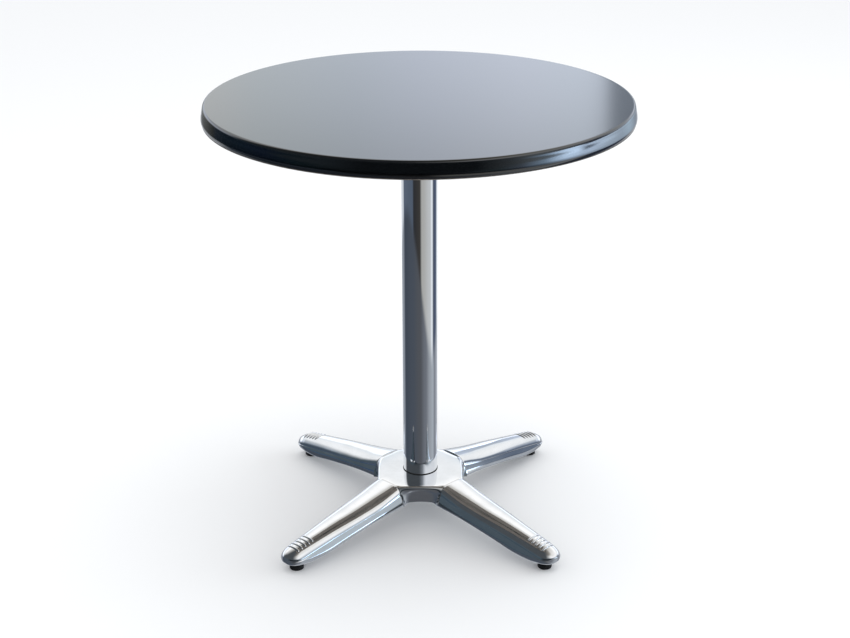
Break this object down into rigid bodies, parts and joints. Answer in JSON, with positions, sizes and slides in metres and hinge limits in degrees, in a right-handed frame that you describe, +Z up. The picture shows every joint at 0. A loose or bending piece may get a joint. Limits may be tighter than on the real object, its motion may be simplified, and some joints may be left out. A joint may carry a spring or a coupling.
{
  "type": "bistro table",
  "caption": "Round table with a black moulded top on a mirror-polished tubular column and a cross-shaped polished cast base with levelling feet.",
  "frame": {"origin": "on the floor, under the column's axis", "axes": "+Z up the column, -Y towards the side seen in the front view, the arms on the diagonals between X and Y"},
  "size_m": [0.7, 0.7, 0.745],
  "materials": {
    "polished_casting": "mirror polished casting",
    "moulded_skin": "satin-gloss black moulded laminate",
    "moulded_core": "pressed wood and resin, dark brown",
    "black_plate": "satin black powder coat",
    "zinc_screws": "zinc plated",
    "chromed_tube": "mirror polished",
    "cast_plug": "as cast, turned faces",
    "black_gasket": "matte",
    "zinc_steel": "zinc plated",
    "spring_steel": "phosphated spring steel",
    "black_bolts": "black oxide",
    "brass_insert": "turned brass",
    "foot_steel": "black oxide thread",
    "foot_nylon": "black nylon"
  },
  "bodies": {
    "table": {"arm_front_left": "polished_casting", "arm_front_right": "polished_casting", "arm_back_right": "polished_casting", "arm_back_left": "polished_casting", "hub": "polished_casting", "top_shell": "moulded_skin", "top_core": "moulded_core", "top_mounting_plate": "black_plate", "plate_screws": "zinc_screws", "column_tube": "chromed_tube", "column_top_plug": "cast_plug", "column_base_gasket": "black_gasket", "tie_rod": "zinc_steel", "tie_rod_top_washer": "zinc_steel", "tie_rod_top_nut": "zinc_steel", "tie_rod_lower_washer": "zinc_steel", "tie_rod_spring_washer": "spring_steel", "tie_rod_lower_nut": "zinc_steel", "arm_bolts": "black_bolts", "arm_bolt_washers": "zinc_steel", "foot_inserts": "brass_insert"},
    "pad_front_left": {"foot_pad_front_left": "foot_nylon"},
    "stem_front_left": {"foot_stem_front_left": "foot_steel"},
    "pad_front_right": {"foot_pad_front_right": "foot_nylon"},
    "stem_front_right": {"foot_stem_front_right": "foot_steel"},
    "pad_back_right": {"foot_pad_back_right": "foot_nylon"},
    "stem_back_right": {"foot_stem_back_right": "foot_steel"},
    "pad_back_left": {"foot_pad_back_left": "foot_nylon"},
    "stem_back_left": {"foot_stem_back_left": "foot_steel"}
  },
  "joints": [
    {"name": "extend_front_left", "type": "slide", "parent": "table", "child": "pad_front_left", "axis": [0, 0, -1], "range_m": [0, 0.01]},
    {"name": "turn_front_left", "type": "hinge", "parent": "pad_front_left", "child": "stem_front_left", "pos_m": [-0.20647, -0.20647, 0.01], "axis": [0, 0, -1], "range_deg": [0, 2880]},
    {"name": "extend_front_right", "type": "slide", "parent": "table", "child": "pad_front_right", "axis": [0, 0, -1], "range_m": [0, 0.01]},
    {"name": "turn_front_right", "type": "hinge", "parent": "pad_front_right", "child": "stem_front_right", "pos_m": [0.20647, -0.20647, 0.01], "axis": [0, 0, -1], "range_deg": [0, 2880]},
    {"name": "extend_back_right", "type": "slide", "parent": "table", "child": "pad_back_right", "axis": [0, 0, -1], "range_m": [0, 0.01]},
    {"name": "turn_back_right", "type": "hinge", "parent": "pad_back_right", "child": "stem_back_right", "pos_m": [0.20647, 0.20647, 0.01], "axis": [0, 0, -1], "range_deg": [0, 2880]},
    {"name": "extend_back_left", "type": "slide", "parent": "table", "child": "pad_back_left", "axis": [0, 0, -1], "range_m": [0, 0.01]},
    {"name": "turn_back_left", "type": "hinge", "parent": "pad_back_left", "child": "stem_back_left", "pos_m": [-0.20647, 0.20647, 0.01], "axis": [0, 0, -1], "range_deg": [0, 2880]}
  ],
  "couplings": [
    {"joint": "turn_front_left", "follows": "extend_front_left", "rad_per_m": 5026.5},
    {"joint": "turn_front_right", "follows": "extend_front_right", "rad_per_m": 5026.5},
    {"joint": "turn_back_right", "follows": "extend_back_right", "rad_per_m": 5026.5},
    {"joint": "turn_back_left", "follows": "extend_back_left", "rad_per_m": 5026.5}
  ]
}
